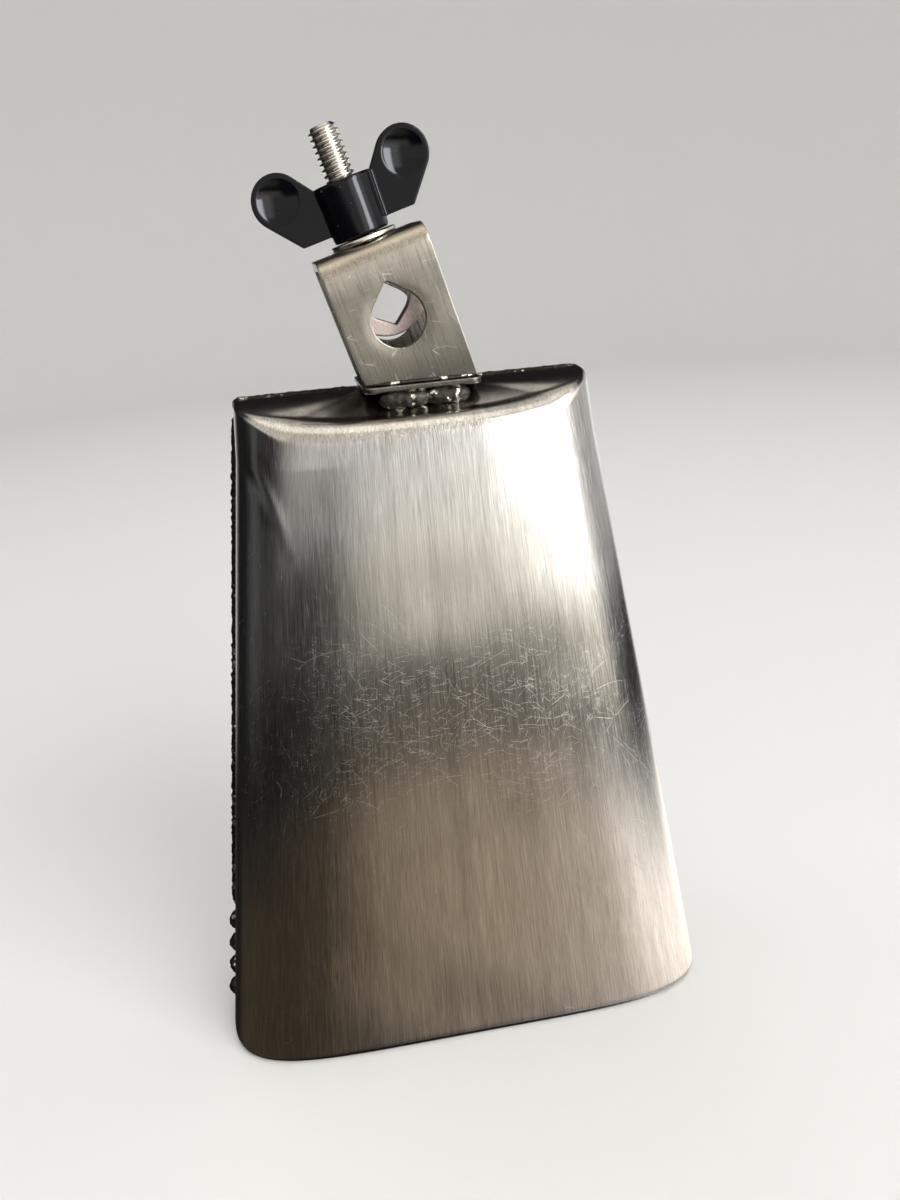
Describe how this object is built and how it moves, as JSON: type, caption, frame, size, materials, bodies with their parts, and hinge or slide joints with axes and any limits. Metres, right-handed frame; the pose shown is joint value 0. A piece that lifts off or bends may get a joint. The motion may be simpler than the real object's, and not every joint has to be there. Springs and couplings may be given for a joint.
{
  "type": "cowbell",
  "caption": "Rod-mounted steel cowbell: flattened flared body open at the mouth, tilted strap bracket on its closed top, eye bolt and wing nut that clamp a mounting rod.",
  "frame": {"origin": "centre of the mouth, in the plane of the mouth's rim", "axes": "+Z along the bell's axis from the mouth to the closed top and the bracket; -Y out of the front face; +X to the right seen from the front"},
  "size_m": [0.1592, 0.0626, 0.2677],
  "materials": {
    "brushed_steel": "vertically brushed, worn satin, warm grey",
    "weld_steel": "rough dark weld with bright ground spots",
    "bracket_steel": "brushed, slightly yellowish plating",
    "bolt_steel": "bright plated thread, matt cut faces",
    "black_paint": "gloss black coating on a die-cast nut"
  },
  "bodies": {
    "bell": {"front_shell": "brushed_steel", "rear_shell": "brushed_steel", "side_weld_left": "weld_steel", "side_weld_right": "weld_steel", "top_weld_left": "weld_steel", "top_weld_right": "weld_steel", "base_weld_front": "weld_steel", "base_weld_rear": "weld_steel", "bracket_base_plate": "bracket_steel", "bracket_strap": "bracket_steel"},
    "wing_nut": {"wing_nut": "black_paint"},
    "eye_bolt": {"eye_bolt": "bolt_steel"},
    "washer": {"washer": "bolt_steel"}
  },
  "joints": [
    {"name": "wing_nut_turn", "type": "hinge", "parent": "bell", "child": "wing_nut", "pos_m": [-0.00856, -0.00354, 0.23961], "axis": [-0.2755, -0.0096, 0.9613], "range_deg": [-540, 1440]},
    {"name": "eye_bolt_slide", "type": "slide", "parent": "bell", "child": "eye_bolt", "axis": [-0.2755, -0.0096, 0.9613], "range_m": [-0.00575, 0.0022]},
    {"name": "washer_spin", "type": "hinge", "parent": "bell", "child": "washer", "pos_m": [-0.00856, -0.00354, 0.23961], "axis": [-0.2755, -0.0096, 0.9613], "continuous": true}
  ],
  "couplings": [
    {"joint": "eye_bolt_slide", "follows": "wing_nut_turn", "m_per_rad": -0.00022458}
  ]
}
